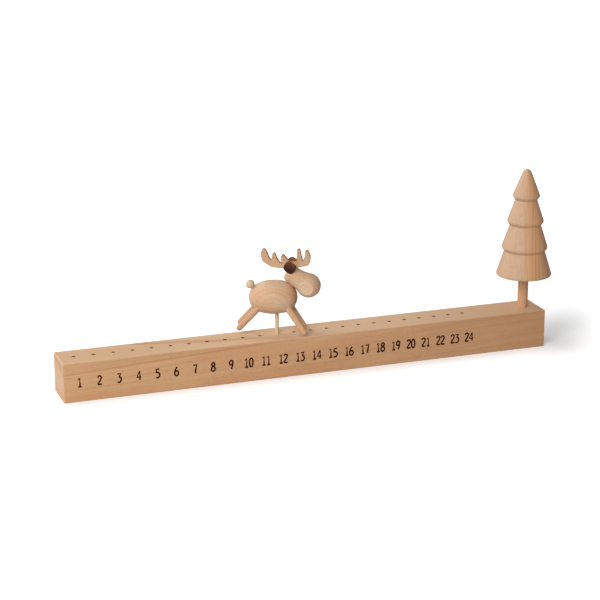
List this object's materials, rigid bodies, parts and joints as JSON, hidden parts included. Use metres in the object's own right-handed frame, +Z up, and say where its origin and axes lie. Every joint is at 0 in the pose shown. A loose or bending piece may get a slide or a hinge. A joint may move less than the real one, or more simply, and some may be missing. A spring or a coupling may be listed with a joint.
{
  "type": "wooden advent calendar",
  "caption": "Wooden advent calendar: a numbered beech bar with a row of day holes, a moose on a peg that moves on one hole each day, and a turned tree at the end.",
  "frame": {"origin": "middle of the bar's underside", "axes": "+X along the row of days from 1 to 24 and on to the tree, +Y from the numbered face to the back, +Z up"},
  "size_m": [0.3939, 0.0428, 0.1408],
  "materials": {
    "bar_wood": "satin",
    "tree_wood": "satin",
    "body_wood": "satin",
    "head_wood": "satin",
    "antler_wood": "satin",
    "tail_wood": "satin",
    "leg_wood": "satin",
    "dowel_wood": "satin",
    "ear_leather": "matte"
  },
  "bodies": {
    "bar": {"base_bar": "bar_wood"},
    "trunk": {"tree_trunk": "dowel_wood"},
    "crown": {"tree_crown": "tree_wood"},
    "peg": {"moose_peg": "dowel_wood"},
    "moose": {"moose_body": "body_wood", "front_right_leg": "leg_wood", "front_left_leg": "leg_wood", "rear_right_leg": "leg_wood", "rear_left_leg": "leg_wood", "tail_ball": "tail_wood", "tail_pin": "dowel_wood", "neck_dowel": "dowel_wood"},
    "head": {"moose_head": "head_wood", "antlers": "antler_wood", "right_ear": "ear_leather", "left_ear": "ear_leather"}
  },
  "joints": [
    {"name": "tree_lift", "type": "slide", "parent": "bar", "child": "trunk", "axis": [0, 0, 1], "range_m": [0, 0.018]},
    {"name": "tree_turn", "type": "hinge", "parent": "trunk", "child": "crown", "pos_m": [0.1799, 0, 0.0565], "axis": [0, 0, 1], "continuous": true},
    {"name": "moose_lift", "type": "slide", "parent": "bar", "child": "peg", "axis": [0, 0, 1], "range_m": [0, 0.015]},
    {"name": "moose_turn", "type": "hinge", "parent": "peg", "child": "moose", "pos_m": [-0.02467, 0, 0.0454], "axis": [0, 0, 1], "continuous": true},
    {"name": "head_turn", "type": "hinge", "parent": "moose", "child": "head", "pos_m": [-0.01504, -0.00372, 0.06763], "axis": [0.4944, -0.1908, 0.848], "range_deg": [-90, 90]}
  ]
}
